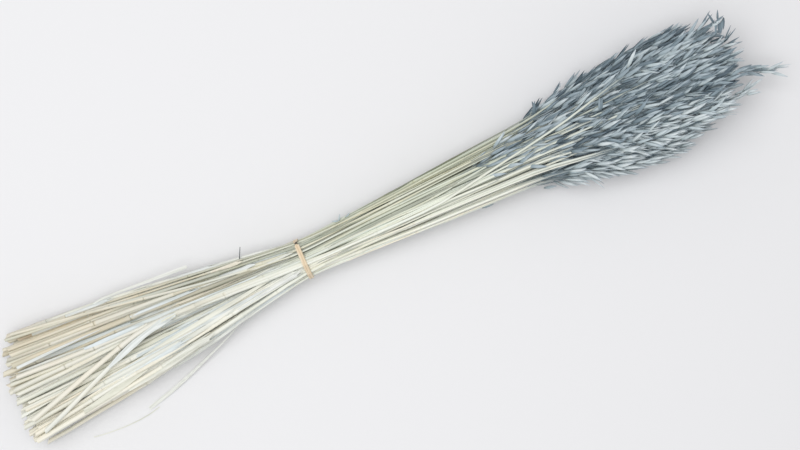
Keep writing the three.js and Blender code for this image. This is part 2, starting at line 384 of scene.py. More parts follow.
straw = {
    "width": [(-350, 2.05), (-260, 1.9), (-170, 1.5), (-83, 1.05), (20, 0.9), (180, 0.74),
              (235, 0.5), (300, 0.34), (350, 0.25)],   # radius in mm along the bundle
    "vary": (0.8, 1.22),         # from a thin stalk to a thick one
    "thin": (0.5, 0.78),
    "sides": 8,
    "wall": 0.42 * mm,
    "hollow": 14 * mm,           # how deep the open cut end goes
    "step": 17 * mm,
    "joints": [(22, 120), (95, 150), (120, 190)],   # mm from the last joint to the next
    "swelling": 0.22,            # how much a joint is thicker, as a share of the radius
    "sheath": (0.15 * mm, 0.5 * mm),   # thickness of the leaf sheath round the straw
    "sheathRun": (0.25, 0.8),    # share of the stretch above a joint that the sheath covers
    "flat": (0.03, 0.2),         # how far the drying straw has flattened
    "cutSlant": (0.9, 16 * mm),  # how slanted the cut is at most, and how far that reaches
    "dyeRun": 50 * mm,           # over what length the dye of the head fades out
    "waver": [(230 * mm, 0.9 * mm), (95 * mm, 0.35 * mm)],   # wavelength and size of bends
}


def strawRadius(x):
    table = np.array(straw["width"]) * mm
    return np.interp(x, table[:, 0], table[:, 1])


def strawProfile(stalk, thick):
    start, end = stalk["start"], stalk["tip"] - 12 * mm
    marks = [(x, strawRadius(x) * thick, 0.0, 0.0)
             for x in np.arange(start + 4 * mm, end, straw["step"])]
    joint, joints = start, []
    for low, high in straw["joints"]:
        joint += dice.uniform(low, high) * mm
        if joint < stalk["headStart"] - 60 * mm:
            joints.append(joint)
    for i, joint in enumerate(joints):
        stretch = (joints[i + 1] if i + 1 < len(joints) else stalk["headStart"]) - joint
        run = stretch * dice.uniform(*straw["sheathRun"])
        marks = [m for m in marks if abs(m[0] - joint) > 9 * mm and abs(m[0] - joint - run) > 4 * mm]
        radius = strawRadius(joint) * thick
        swollen = radius * (1 + straw["swelling"])
        cover = dice.uniform(*straw["sheath"]) * (0.25 + 0.75 * butt(joint))
        dark = 0.35 + 0.65 * min(1, 2 * butt(joint))
        marks = [m if not joint < m[0] < joint + run else (m[0], m[1] + cover, 0.0, 1.0)
                 for m in marks]
        marks += [
            (joint - 6.0 * mm, radius, 0.0, 0.0),
            (joint - 3.6 * mm, radius * 1.05, 0.0, 0.2),
            (joint - 1.6 * mm, swollen, 0.0, 0.6),
            (joint - 0.7 * mm, swollen, 0.15, 0.6),
            (joint - 0.1 * mm, radius * 1.02, dark, 0.6),
            (joint + 0.5 * mm, swollen, 0.3 * dark, 1.0),
            (joint + 2.4 * mm, swollen + cover / 2, 0.0, 1.0),
            (joint + 7.0 * mm, radius + cover, 0.0, 1.0),
            (joint + run - 1.0 * mm, radius + cover, 0.1, 1.0),
            (joint + run, radius + cover * 0.8, 0.45, 1.0),
            (joint + run + 0.4 * mm, radius, 0.2, 0.0),
        ]
    marks.sort()
    return marks, joints


def turnedStraw(marks, start):
    bm = bmesh.new()
    outer = marks[0][1]
    inner = outer - straw["wall"]
    section = [(start + straw["hollow"], 0), (start + straw["hollow"], inner), (start, inner),
               (start, outer)] + [(x, radius) for x, radius, *_ in marks]
    section.append((marks[-1][0] + 3 * mm, 0))
    verts = [bm.verts.new((x, radius, 0)) for x, radius in section]
    edges = [bm.edges.new(pair) for pair in zip(verts, verts[1:])]
    bmesh.ops.spin(bm, geom=verts + edges, cent=(0, 0, 0), axis=(1, 0, 0), dvec=(0, 0, 0),
                   angle=math.tau, steps=straw["sides"], use_merge=True, use_duplicate=False)
    bmesh.ops.remove_doubles(bm, verts=bm.verts[:], dist=0.001 * mm)
    return toArrays(bm)


def unit(vectors):
    return vectors / np.linalg.norm(vectors, axis=-1, keepdims=True)


def crossAxes(line):
    tangent = unit(np.gradient(line, axis=0))
    side = unit(np.column_stack([-tangent[:, 1], tangent[:, 0], np.zeros(len(line))]))
    return tangent, side, np.cross(tangent, side)


def onLine(line, x, a, b):
    side, up = crossAxes(line)[1:]
    centre, side, up = (np.column_stack([np.interp(x, line[:, 0], row) for row in rows.T])
                        for rows in (line, side, up))
    return centre + side * a[:, None] + up * b[:, None]


def naturalLine(stalk, joints):
    line = stalk["line"].copy()
    x = line[:, 0]
    free = np.maximum(butt(x), 0.35 * head(x))
    for wavelength, size in straw["waver"]:
        for axis, share in ((1, 1.0), (2, 0.4)):
            wave = np.sin(math.tau * (x / wavelength + dice.random()))
            line[:, axis] += wave * size * share * free * dice.uniform(0.3, 1)
    for joint in joints:     # a straw bends a little at each joint
        line[:, 1] += dice.normal(0, stalk["bends"]) * np.maximum(0, joint - x)
    heldIn(line, 1.5 * mm)
    return line


def addStraw(pile, stalk):
    thick = dice.uniform(*straw["thin" if stalk["thin"] else "vary"])
    marks, joints = strawProfile(stalk, thick)
    line = naturalLine(stalk, joints)
    template = turnedStraw(marks, stalk["start"])
    x, a, b = template["co"].T
    table = np.array(marks)
    ring = np.interp(x, table[:, 0], table[:, 2])
    sheath = np.interp(x, table[:, 0], table[:, 3])
    slant, slantReach = straw["cutSlant"]
    nearCut = np.clip(1 - (x - stalk["start"]) / slantReach, 0, 1)
    x = x + slant * dice.uniform(-1, 1) * a * nearCut
    lean = dice.uniform(0, math.pi)
    flat = dice.uniform(*straw["flat"]) * (0.3 + 0.7 * butt(x))
    along = a * math.cos(lean) + b * math.sin(lean)
    aside = b * math.cos(lean) - a * math.sin(lean)
    along, aside = along * (1 + 0.5 * flat), aside * (1 - flat)
    co = onLine(line, x, along * math.cos(lean) - aside * math.sin(lean),
                along * math.sin(lean) + aside * math.cos(lean))
    grain = np.column_stack([x + dice.uniform(0, 20), a, b])
    bareTo = stalk["headStart"] + stalk["bare"]      # the heads are dyed, the straw is not
    dye = np.clip((x - bareTo + straw["dyeRun"] / 2) / straw["dyeRun"], 0, 1)
    mark = np.where(ring > 0.01, ring, -sheath)
    addPart(pile, template, co, 0, grain, stalk["tone"], mark, dye)
    stalk["modelled"], stalk["line"] = stalk["line"], line
    stalk["joints"], stalk["thick"] = joints, thick


# A papery leaf sheath that has come loose: a strip curled part of the way round the straw.

flap = {
    "chance": 0.5,
    "length": (26, 90),       # mm
    "wrap": (2.3, 4.4),       # radians round the straw
    "off": (0.12, 2.0),        # mm off the straw, at the joint and at the free end
    "before": (45 * mm, 8 * mm),   # starts and ends at least so far before the band
    "thickness": 0.13 * mm,
    "rows": 9,
    "columns": 6,
}


def flatStrip(rows, columns):
    bm = bmesh.new()
    bmesh.ops.create_grid(bm, x_segments=rows, y_segments=columns, size=0.5)
    along = bm.verts.layers.float.new("along")
    across = bm.verts.layers.float.new("across")
    for vert in bm.verts:
        vert[along], vert[across] = vert.co.x + 0.5, vert.co.y * 2
    return bm, along, across


def thickened(bm, thickness):
    bmesh.ops.recalc_face_normals(bm, faces=bm.faces[:])
    bmesh.ops.solidify(bm, geom=bm.faces[:], thickness=thickness)
    return toArrays(bm)


def addFlap(pile, stalk, joint, length):
    bm, along, across = flatStrip(flap["rows"], flap["columns"])
    length = min(length, bundle["bandX"] - flap["before"][1] - joint)
    wrap = dice.uniform(*flap["wrap"])
    turn = dice.uniform(0.2, math.pi - 0.2)
    free = dice.uniform(0.4, 1) * flap["off"][1] * mm
    for vert in bm.verts:
        t, s = vert[along], vert[across]
        angle = turn + s * wrap / 2 * (1 - 0.45 * t ** 2)
        radius = strawRadius(joint) * stalk["thick"] + flap["off"][0] * mm + free * t ** 2
        ragged = 0.12 * math.sin(7 * s + turn * 5) * t
        vert.co = (t * (1 + ragged) * length, radius * math.cos(angle), radius * math.sin(angle))
    template = thickened(bm, flap["thickness"])
    x, a, b = template["co"].T
    co = onLine(stalk["line"], joint + x, a, b)
    grain = np.column_stack([x + dice.uniform(0, 20), a, b])
    addPart(pile, template, co, 2, grain, dice.random(), template["along"])


# A husk: two thin boat-shaped glumes that meet at their base, and in some a grain between.

husk = {
    "length": 19.0 * mm,
    "halfWidth": 1.5 * mm,
    "depth": 0.9 * mm,
    "wall": 0.2 * mm,
    "sharpness": (0.6, 1.0),    # exponents of the width towards the base and the tip
    "floorGap": 0.4 * mm,
    "kinds": [      # degrees that each glume opens, how long it is, and the share of all husks
        {"open": (2, 2), "length": (1.0, 0.94), "share": 0.3, "grain": False},
        {"open": (4, 3), "length": (1.0, 0.9), "share": 0.25, "grain": False},
        {"open": (7, 5), "length": (1.0, 0.95), "share": 0.18, "grain": False},
        {"open": (11, 8), "length": (0.97, 1.0), "share": 0.1, "grain": True},
        {"open": (3, 6), "length": (0.9, 1.0), "share": 0.17, "grain": False},
    ],
}


def huskWidth(t):
    rise, fall = husk["sharpness"]
    widest = rise / (rise + fall)
    peak = widest ** rise * (1 - widest) ** fall
    return husk["halfWidth"] * t ** rise * (1 - t) ** fall / peak


def addGlume(bm, tags, side, opened, size, slim=1.0):
    made = bmesh.ops.create_uvsphere(bm, u_segments=6, v_segments=5, radius=1,
                                     matrix=Matrix.Rotation(math.radians(30), 4, "Z"))
    for vert in made["verts"]:
        t = min(max((1 + vert.co.z) / 2, 0), 1)
        girth = math.sqrt(max(1 - vert.co.z ** 2, 1e-9))
        s = vert.co.x / girth if 0 < t < 1 else 0
        width = huskWidth(t) * slim
        height = husk["depth"] * (width / husk["halfWidth"]) ** 0.7 * (1 - 0.8 * s * s)
        if slim < 1:        # the grain is round all the way
            z = vert.co.y / girth * width * 0.8 if 0 < t < 1 else 0
        else:
            outer = vert.co.y * side > 0
            z = side * (height - (0 if outer else min(husk["wall"], height * 0.8)))
        x = t * husk["length"] * size
        vert[tags[0]], vert[tags[1]] = t, s
        vert.co = (x, s * width, z + side * math.tan(math.radians(opened)) * x)


def huskTemplate(kind):
    bm = bmesh.new()
    tags = bm.verts.layers.float.new("along"), bm.verts.layers.float.new("across")
    for side, opened, size in zip((1, -1), kind["open"], kind["length"]):
        addGlume(bm, tags, side, opened, size)
    if kind["grain"]:
        addGlume(bm, tags, 1, 0, 0.72, slim=0.55)
    return toArrays(bm)


huskTemplates = [huskTemplate(kind) for kind in husk["kinds"]]


def branchTemplate():
    bm = bmesh.new()
    along = bm.verts.layers.float.new("along")
    ring = bmesh.ops.create_circle(bm, segments=3, radius=1, cap_ends=False)["verts"]
    edges = bm.edges[:]
    for _ in range(2):
        grown = bmesh.ops.extrude_edge_only(bm, edges=edges)["geom"]
        ring = [g for g in grown if isinstance(g, bmesh.types.BMVert)]
        edges = [g for g in grown if isinstance(g, bmesh.types.BMEdge)]
        bmesh.ops.translate(bm, verts=ring, vec=(0, 0, 1 / 2))
    bmesh.ops.holes_fill(bm, edges=bm.edges[:])
    for vert in bm.verts:
        vert[along] = vert.co.z
    return toArrays(bm)


branch = branchTemplate()


def addBranch(pile, path, radius, tone, finish=0):
    t = branch["along"]
    start, middle, end = path
    centre = (np.outer((1 - t) ** 2, start) + np.outer(2 * t * (1 - t), middle)
              + np.outer(t ** 2, end))
    ahead = unit(end - start)
    side = unit(np.cross(ahead, (0.1, 0.3, 1.0)))
    up = np.cross(ahead, side)
    a, b = branch["co"][:, 0], branch["co"][:, 1]
    thin = radius * (1 - 0.4 * t)[:, None]
    co = centre + (np.outer(a, side) + np.outer(b, up)) * thin
    grain = np.column_stack([t * 0.02 + tone * 7, a * radius, b * radius])
    addPart(pile, branch, co, finish, grain, tone, 0.0, 1.0)


panicle = {
    "husks": (42, 51),                # on a full head
    "full": 110 * mm,                 # how long that is
    "bareTip": 15 * mm,               # the last husk starts so far from the tip
    "reach": (5.0 * mm, 4.4 * mm),    # how far husks start from the stalk, sideways and up
    "branch": (12 * mm, 30 * mm),
    "branchRadius": 0.2 * mm,
    "lean": (9, 7),                   # degrees off the stalk: the usual, and how it varies
    "edgeLean": (9, -5),              # added at the bundle's outside, on its -Y and +Y side
    "droop": (34, 0.5),               # the first husks hang out on the -Y side: degrees, share
    "size": (0.84, 1.12),
    "smaller": 0.18,                  # by this share towards the tip
    "turnGolden": 2.4,                # radians from one husk to the next, the golden angle
    "sweep": 0.12,                    # radians that a husk turns to a side
    "tone": (0.16, 0.24),             # how the tone differs between heads and between husks
    "paintedLightLowSide": 1.1,                      # painted light: how much paler the husks are made towards the -Y side
}


def swung(vector, angle):      # about the vertical
    x, y, z = vector
    return np.array([x * math.cos(angle) - y * math.sin(angle),
                     x * math.sin(angle) + y * math.cos(angle), z])


def addHusk(pile, base, ahead, roll, size, tone, wide=1.0):
    shares = [kind["share"] for kind in husk["kinds"]]
    template = huskTemplates[dice.choice(len(huskTemplates), p=shares)]
    side = unit(np.cross((0, 0, 1.0), ahead))
    up = np.cross(ahead, side)
    across = side * math.cos(roll) + up * math.sin(roll)
    over = up * math.cos(roll) - side * math.sin(roll)
    slim = dice.uniform(0.85, 1.12) * wide
    x, a, b = (template["co"] * size).T
    bow = dice.normal(0, 0.06, 2)[:, None] * (x / husk["length"]) ** 2 * husk["length"]
    co = (base + np.outer(x, ahead) + np.outer(a * slim + bow[0], across)
          + np.outer(b + bow[1], over))
    low = co[:, 2].min()
    if low < husk["floorGap"]:
        co[:, 2] += husk["floorGap"] - low
    grain = np.column_stack([x + dice.uniform(0, 20), template["across"] * husk["halfWidth"], b])
    # The mark is how far along the husk; the husk material paints shade at its base from it.
    addPart(pile, template, co, 1, grain, tone, template["along"])


def addPanicle(pile, stalk, outward):
    line = stalk["line"]
    tangent = crossAxes(line)[0]
    first = stalk["headStart"] + stalk["bare"] - stalk["early"]
    last = stalk["tip"] - panicle["bareTip"]
    many = int(dice.integers(*panicle["husks"]) * (last - first) / panicle["full"])
    spin = dice.uniform(0, math.tau)
    headVaries, huskVaries = panicle["tone"]
    headTone = dice.uniform(-headVaries, headVaries)
    for i in range(many):
        share = (i + dice.uniform(0.1, 0.9)) / many
        x = first + share * (last - first)
        centre = pointOn(line, x)
        forward = np.array([np.interp(x, line[:, 0], along) for along in tangent.T])
        angle = spin + panicle["turnGolden"] * i + dice.normal(0, 0.3)
        radial = np.array([0, math.cos(angle), math.sin(angle)])
        full = math.sin(math.pi * min(1, 0.18 + 0.72 * share)) ** 0.6
        off = full * dice.uniform(0.25, 1) ** 0.6
        base = centre + radial * (0, *panicle["reach"]) * off
        lean = math.radians(abs(dice.normal(*panicle["lean"])))
        facing = max(0.0, radial[1] * outward[0] + radial[2] * outward[1])
        edge = panicle["edgeLean"][int(outward[0] > 0)]
        if outward[0] < -0.3:
            droop, upTo = panicle["droop"]
            edge += droop * max(0.0, 1 - share / upTo)
        lean += math.radians(edge) * facing ** 2 * dice.uniform(0.3, 1.3)
        splay = 1 + (stalk["splay"] - 1) * share ** 2
        lean *= splay
        sweep = dice.normal(0, panicle["sweep"]) * splay
        ahead = forward * math.cos(lean) + radial * math.sin(lean)
        ahead = unit(swung(ahead, sweep))
        size = dice.uniform(*panicle["size"]) * (1 - panicle["smaller"] * share)
        # Painted light: husks towards the -Y side get a paler tone.
        paintedLightLowSide = panicle["paintedLightLowSide"] * min(base[1], 0) / bundle["headHalf"][0]
        tone = 0.5 + headTone - paintedLightLowSide + dice.normal(0, huskVaries)
        addHusk(pile, base, ahead, dice.normal(0, 0.7), size, tone)
        run = dice.uniform(*panicle["branch"])
        root = pointOn(line, x - run)
        addBranch(pile, (root, (root + base) / 2 + radial * 1.2 * mm, base),
                  panicle["branchRadius"], dice.random())


def middleOf(stalk):      # its place where the heads are thickest, across the bundle
    return pointOn(stalk["line"], bundle["headsX"] + 40 * mm)[1:]


headMiddle = np.mean([middleOf(stalk) for stalk in stalks], axis=0)


def outwardOf(stalk):      # the way out of the bundle from this head, nothing for inner ones
    out = (middleOf(stalk) - headMiddle) / bundle["headHalf"]
    reach = np.linalg.norm(out)
    return out / max(reach, 1e-6) * np.clip((reach - 0.55) / 0.35, 0, 1)


# Dried leaves: thin ribbons. Two stalks keep a blade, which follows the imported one.

ribbon = {"thickness": 0.26 * mm, "rows": 26, "columns": 5, "crease": 0.35 * mm}


def addRibbon(pile, centres, halves, twists, tone):
    bm, along, across = flatStrip(ribbon["rows"], ribbon["columns"])
    order = np.linspace(0, 1, len(centres))
    for vert in bm.verts:
        t, s = vert[along], vert[across]
        x, y, z, half, twist = (smoothAt(t, order, row) for row in (*centres.T, halves, twists))
        crease = ribbon["crease"] * abs(s) * min(1, half / (2 * mm))
        vert.co = (x, y + s * half * math.cos(twist),
                   z + s * half * math.sin(twist) * 0.6 + crease)
    template = thickened(bm, ribbon["thickness"])
    co = template["co"]
    grain = np.column_stack([co[:, 0], template["across"] * halves[-1], co[:, 2]])
    addPart(pile, template, co, 2, grain, tone, template["along"])


def addBlade(pile, stalk):
    rings = stalk["blade"]
    offStraw = [abs(pointOn(stalk["modelled"], ring[0, 0])[1] - ring[:, 1].mean())
                for ring in rings]
    if offStraw[0] > offStraw[-1]:      # from the root outwards
        rings = rings[::-1]
    centres = np.array([ring.mean(0) for ring in rings])
    rootward = math.copysign(19.5 * mm, centres[0, 0] - centres[-1, 0])
    centres = np.vstack([pointOn(stalk["line"], centres[0, 0] + rootward), centres])
    halves = np.array([0.3 * mm] + [np.ptp(ring[:, 1]) * 0.36 for ring in rings])
    if centres[-1, 1] < 0:      # this one is torn off square
        halves[-2:] = 1.7 * mm
    t = np.linspace(0, 1, len(centres))
    addRibbon(pile, centres, halves, 0.7 * (1 - t) + 0.25 * np.sin(5 * t), 0.35)


def smoothAt(t, order, values):      # a weighted mean of the values near t
    offsets = np.array([-0.08, -0.04, 0, 0.04, 0.08])
    weights = np.array([1, 2, 3, 2, 1]) / 9
    return float(np.dot(weights, np.interp(np.clip(t + offsets, 0, 1), order, values)))


# Materials. Patterns follow the "grain" attribute: metres along and around each piece.

def linearColour(code):
    channels = [int(code[i:i + 2], 16) / 255 for i in (1, 3, 5)]
    return [c / 12.92 if c <= 0.04045 else ((c + 0.055) / 1.055) ** 2.4 for c in channels] + [1]


def addNode(tree, kind, settings, output=0):
    # Settings are sockets, by name or number, and properties. A socket's value can be another
    # node's output, which is linked, or a hex colour. "stops" are those of a colour ramp.
    node = tree.nodes.new("ShaderNode" + kind)
    for name, value in settings.items():
        if name == "stops":
            elements = node.color_ramp.elements
            while len(elements) < len(value):
                elements.new(0.5)
            for element, (place, colour) in zip(elements, value):
                element.position = place
                element.color = linearColour(colour) if isinstance(colour, str) else [colour] * 3 + [1]
        elif isinstance(value, bpy.types.NodeSocket):
            tree.links.new(value, node.inputs[name])
        elif isinstance(name, int) or name in node.inputs:
            node.inputs[name].default_value = linearColour(value) if isinstance(value, str) else value
        else:
            setattr(node, name, value)
    return node.outputs[output]


def newMaterial(name, settings):
    material = bpy.data.materials.new(name)
    material.use_nodes = True
    for socket, value in settings.items():
        material.node_tree.nodes["Principled BSDF"].inputs[socket].default_value = value
    return material, partial(addNode, material.node_tree)


def finished(material, sources, relief, strength, depth):      # relief is a pattern's output
    tree = material.node_tree
    bump = addNode(tree, "Bump", {"Strength": strength, "Distance": depth, "Height": relief})
    for socket, source in {**sources, "Normal": bump}.items():
        tree.links.new(source, tree.nodes["Principled BSDF"].inputs[socket])
    return material


def perMm(spacing):      # texture scale that repeats once in a spacing in millimetres
    return 1000 / spacing


def streaks(add, spacings, detail=3.0):      # soft patches, mm long along, across and in depth
    grain = add("Attribute", {"attribute_name": "grain"}, "Vector")
    scaled = add("Mapping", {"Scale": [perMm(spacing) for spacing in spacings], "Vector": grain})
    return add("TexNoise", {"Scale": 1.0, "Detail": detail, "Vector": scaled}, "Fac")


def tinted(add, colour, amount, source, stops):      # darkened by a ramp that a pattern drives
    tint = add("ValToRGB", {"Fac": source, "stops": stops})
    return add("Mix", {**multiply, 0: amount, 6: colour, 7: tint}, 2)


blend = {"data_type": "RGBA"}      # sockets 0, 6 and 7: the share of the second, and two colours
multiply = {"data_type": "RGBA", "blend_type": "MULTIPLY"}


def driedStraw():
    # Straw dried in the air: a pale waxy skin over long fibres, so it has a soft sheen along
    # its length, fine streaks, and a dark ring at each joint.
    material, add = newMaterial("dried_straw", {"IOR": 1.47})
    tone, mark, dye = (add("Attribute", {"attribute_name": name}, "Fac")
                       for name in ("tone", "mark", "dye"))
    colour = add("ValToRGB", {"Fac": tone, "stops": [
        (0.0, "#f3ecda"), (0.18, "#fbf6ea"), (0.36, "#eceee4"), (0.55, "#faf8f2"),
        (0.72, "#e6eef0"), (0.86, "#f3e6d3"), (1.0, "#f5f5ec")]})
    patches = streaks(add, (55, 9, 9), 2.0)
    colour = tinted(add, colour, 0.5, patches,
                    [(0.3, "#d6e2e6"), (0.5, "#ffffff"), (0.74, "#f8eacf")])
    fine = streaks(add, (30, 0.9, 0.9))
    colour = tinted(add, colour, 0.4, fine, [(0.3, "#c9cbc1"), (0.6, "#ffffff")])
    clamped = {"operation": "MULTIPLY", "use_clamp": True, 0: mark}
    sheath = add("Math", {**clamped, 1: -0.55})      # a mark below 0 is a sheath, above it a ring
    colour = add("Mix", {**blend, 0: sheath, 6: colour, 7: "#eef0ee"}, 2)
    colour = add("Mix", {**blend, 0: add("Math", {**clamped, 1: 0.5}), 6: colour, 7: "#6f7166"}, 2)
    place = add("TexCoord", {}, "Object")
    share = add("MapRange", {"From Min": bundle["cutX"], "From Max": 0.3,
                             "Value": add("SeparateXYZ", {0: place}, "X")})
    colour = tinted(add, colour, 1.0, share, [
        (0.0, "#ece8e1"), (0.25, "#efeeea"), (0.4, "#f7faf8"), (0.6, "#fcfffa"),
        (0.75, "#f3f7f2"), (0.9, "#dfe6e3")])      # greener in the middle of the straws
    other = add("Math", {"operation": "MULTIPLY", 0: tone, 1: 7.0})
    other = add("Math", {"operation": "FRACT", 0: other})
    aged = tinted(add, colour, 1.0, other, [
        (0.0, "#70756b"), (0.16, "#a3a79b"), (0.3, "#dcdfd6"), (0.4, "#ffffff")])
    amount = add("ValToRGB", {"Fac": share, "stops": [(0.15, 0.12), (0.42, 0.8), (0.7, 0.9)]})
    colour = add("Mix", {**blend, 0: amount, 6: colour, 7: aged}, 2)
    # Painted shade: the straws are made darker towards the +Y side, as much as the share along the
    # bundle allows.
    aside = add("MapRange", {"From Min": -0.01, "From Max": 0.03,
                             "Value": add("SeparateXYZ", {0: place}, "Y")})
    paintedShadePlusY = tinted(add, colour, 1.0, aside, [(0.0, "#ffffff"), (1.0, "#d9dbce")])
    colour = add("Mix", {**blend, 0: amount, 6: colour, 7: paintedShadePlusY}, 2)
    # Painted light: a near-white wash on the straws towards the -Y side.
    paintedLightMinusY = add("ValToRGB", {"Fac": aside, "stops": [(0.0, 0.4), (0.6, 0.1), (1.0, 0.0)]})
    colour = add("Mix", {**blend, 0: paintedLightMinusY, 6: colour, 7: "#fbfdf5"}, 2)
    paler = add("ValToRGB", {"Fac": share, "stops": [(0.62, 0.0), (0.8, 0.55)]})
    colour = add("Mix", {**blend, 0: paler, 6: colour, 7: "#dfe5e1"}, 2)
    colour = add("Mix", {**blend, 0: dye, 6: colour, 7: "#72828b"}, 2)
    roughness = add("ValToRGB", {"Fac": patches, "stops": [(0.3, 0.5), (0.7, 0.72)]})
    return finished(material, {"Base Color": colour, "Roughness": roughness}, fine, 0.35, 0.12 * mm)


def oatHusk():
    # Oat glumes, papery and dry: dull, with fine raised veins along them, and painted shade at their
    # base, where they lie under the husks above.
    material, add = newMaterial("oat_husk", {"Roughness": 0.6, "IOR": 1.45})
    tone = add("Attribute", {"attribute_name": "tone"}, "Fac")
    along = add("Attribute", {"attribute_name": "mark"}, "Fac")
    grain = add("Attribute", {"attribute_name": "grain"}, "Vector")
    colour = add("ValToRGB", {"Fac": tone, "stops": [
        (0.0, "#5f6e79"), (0.25, "#93a3ad"), (0.5, "#bdc9d0"), (0.75, "#d5dfe3"),
        (1.0, "#e9eff1")]})
    cloud = streaks(add, (9, 2.5, 4), 2.0)
    colour = tinted(add, colour, 0.5, cloud, [(0.3, "#aab8bd"), (0.7, "#ffffff")])
    # Painted shade at the husk's base, where it lies under the husks above.
    colour = tinted(add, colour, 0.8, along, [
        (0.0, "#6f766f"), (0.22, "#dde2e2"), (0.7, "#ffffff"), (1.0, "#dfe2ea")])
    veinSpacing = 0.62    # mm, coarser than the real 0.4 so that the veins show
    veins = add("TexWave", {"bands_direction": "Y", "Scale": perMm(veinSpacing) * math.tau / 20,
                            "Distortion": 0.6, "Detail": 1.0, "Vector": grain}, "Fac")
    colour = tinted(add, colour, 0.35, veins, [(0.1, "#a5b2b6"), (0.7, "#ffffff")])
    return finished(material, {"Base Color": colour}, veins, 0.4, 0.1 * mm)


def paperySheath():
    # A dried leaf: thin bleached paper with parallel veins, and dull.
    material, add = newMaterial("papery_sheath", {"Roughness": 0.7, "IOR": 1.4})
    tone = add("Attribute", {"attribute_name": "tone"}, "Fac")
    colour = add("ValToRGB", {"Fac": tone, "stops": [
        (0.0, "#e3e2d2"), (0.4, "#e9ebe8"), (0.7, "#dbe3e6"), (1.0, "#efe7d5")]})
    veins = streaks(add, (40, 0.7, 0.7))
    colour = tinted(add, colour, 0.5, veins, [(0.3, "#bdc0b6"), (0.65, "#ffffff")])
    return finished(material, {"Base Color": colour}, veins, 0.4, 0.1 * mm)


def naturalRubber():
    # A moulded and cut band of natural rubber: tan, satin, drawn into fine lines by the pull.
    material, add = newMaterial("natural_rubber", {"Roughness": 0.48, "IOR": 1.52})
    crossingShade = add("Attribute", {"attribute_name": "mark"}, "Fac")      # painted shade where the turns cross
    fine = streaks(add, (14, 0.5, 0.5))
    cloud = streaks(add, (8, 5, 5), 2.0)
    colour = add("ValToRGB", {"Fac": cloud, "stops": [
        (0.3, "#ddc7a6"), (0.5, "#e5d4b8"), (0.7, "#ecdfc8")]})
    colour = tinted(add, colour, 0.45, fine, [(0.3, "#bda27e"), (0.6, "#ffffff")])
    # Painted shade: dark brown where the turns cross.
    colour = add("Mix", {**blend, 0: crossingShade, 6: colour, 7: "#3a3126"}, 2)
    return finished(material, {"Base Color": colour}, fine, 0.4, 0.08 * mm)


stalkMaterials = [driedStraw(), oatHusk(), paperySheath()]


def addStalk(pile, stalk):
    addStraw(pile, stalk)
    addPanicle(pile, stalk, outwardOf(stalk))
    for joint in stalk["joints"]:
        if dice.random() < flap["chance"] and joint < bundle["bandX"] - flap["before"][0]:
            addFlap(pile, stalk, joint, dice.uniform(*flap["length"]) * mm)
    if stalk["flap"]:
        start, length = stalk["flap"]
        addFlap(pile, stalk, start * mm, length * mm)


for stalk in stalks:
    pile = newPile()
    addStalk(pile, stalk)
    if stalk["blade"]:
        addBlade(pile, stalk)
    piece = joinedPiece("dressed_" + stalk["name"], pile, stalkMaterials)
    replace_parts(piece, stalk["name"])
print("packed stalks dressed")

for number, group in enumerate(fillers, 1):
    pile = newPile()
    for stalk in group:
        addStalk(pile, stalk)
    joinedPiece(f"stalks_between_{number}", pile, stalkMaterials)
print("stalks between them dressed")


# Old leaf sheaths that came off their straws and lie along the topmost ones.

looseSheath = {
    "many": 30,
    "points": 6,               # of its line
    "from": (-346, -190),      # mm along the bundle
    "length": (40, 150),       # mm
    "half": (1.3, 3.0),        # mm, half its width
    "drift": 5 * mm,           # how far it wanders off the straw's line
    "lift": (0.2, 1.3),        # mm above the straw
    "broadAt": (-266, -196),   # mm, one broad grey one along the last crossing straw
    "broad": (0.8, 2.6, 3.0, 2.0, 3.2, 1.2),   # mm, half its width at each point
}


def looseSheaths():
    pile = newPile()
    points = looseSheath["points"]
    top = fillers[-2] + fillers[-1] + layers[-1]
    for _ in range(looseSheath["many"]):
        stalk = top[dice.integers(len(top))]
        start = dice.uniform(*looseSheath["from"]) * mm
        end = min(start + dice.uniform(*looseSheath["length"]) * mm, bundle["bandX"] - 12 * mm)
        x = np.linspace(max(start, stalk["start"] + 2 * mm), end, points)
        centres = np.array([pointOn(stalk["line"], place) for place in x])
        centres[:, 1] += looseSheath["drift"] * np.linspace(*dice.uniform(-1, 1, 2), points)
        heldIn(centres, 1 * mm, x)
        centres[:, 2] += (strawRadius(x) * stalk["thick"]
                          + dice.uniform(*looseSheath["lift"], points) * mm)
        half = dice.uniform(*looseSheath["half"]) * mm
        halves = half * np.array([dice.choice([0.1, 0.4, 0.8]), 0.8, 1, 0.9, 0.6, 0.12])
        addRibbon(pile, centres, halves, np.cumsum(dice.normal(0, 0.2, points)), dice.random())
    course = fillers[-2][-1]["line"]
    x = np.linspace(*looseSheath["broadAt"], points) * mm
    centres = np.array([pointOn(course, place) for place in x]) + (0, 0, 2.6 * mm)
    addRibbon(pile, centres, np.array(looseSheath["broad"]) * mm, np.zeros(points), 0.5)
    joinedPiece("loose_sheaths", pile, stalkMaterials)


looseSheaths()


# Bits that came off: single husks on and beside the bundle, a twig, and a fibre of the blade.

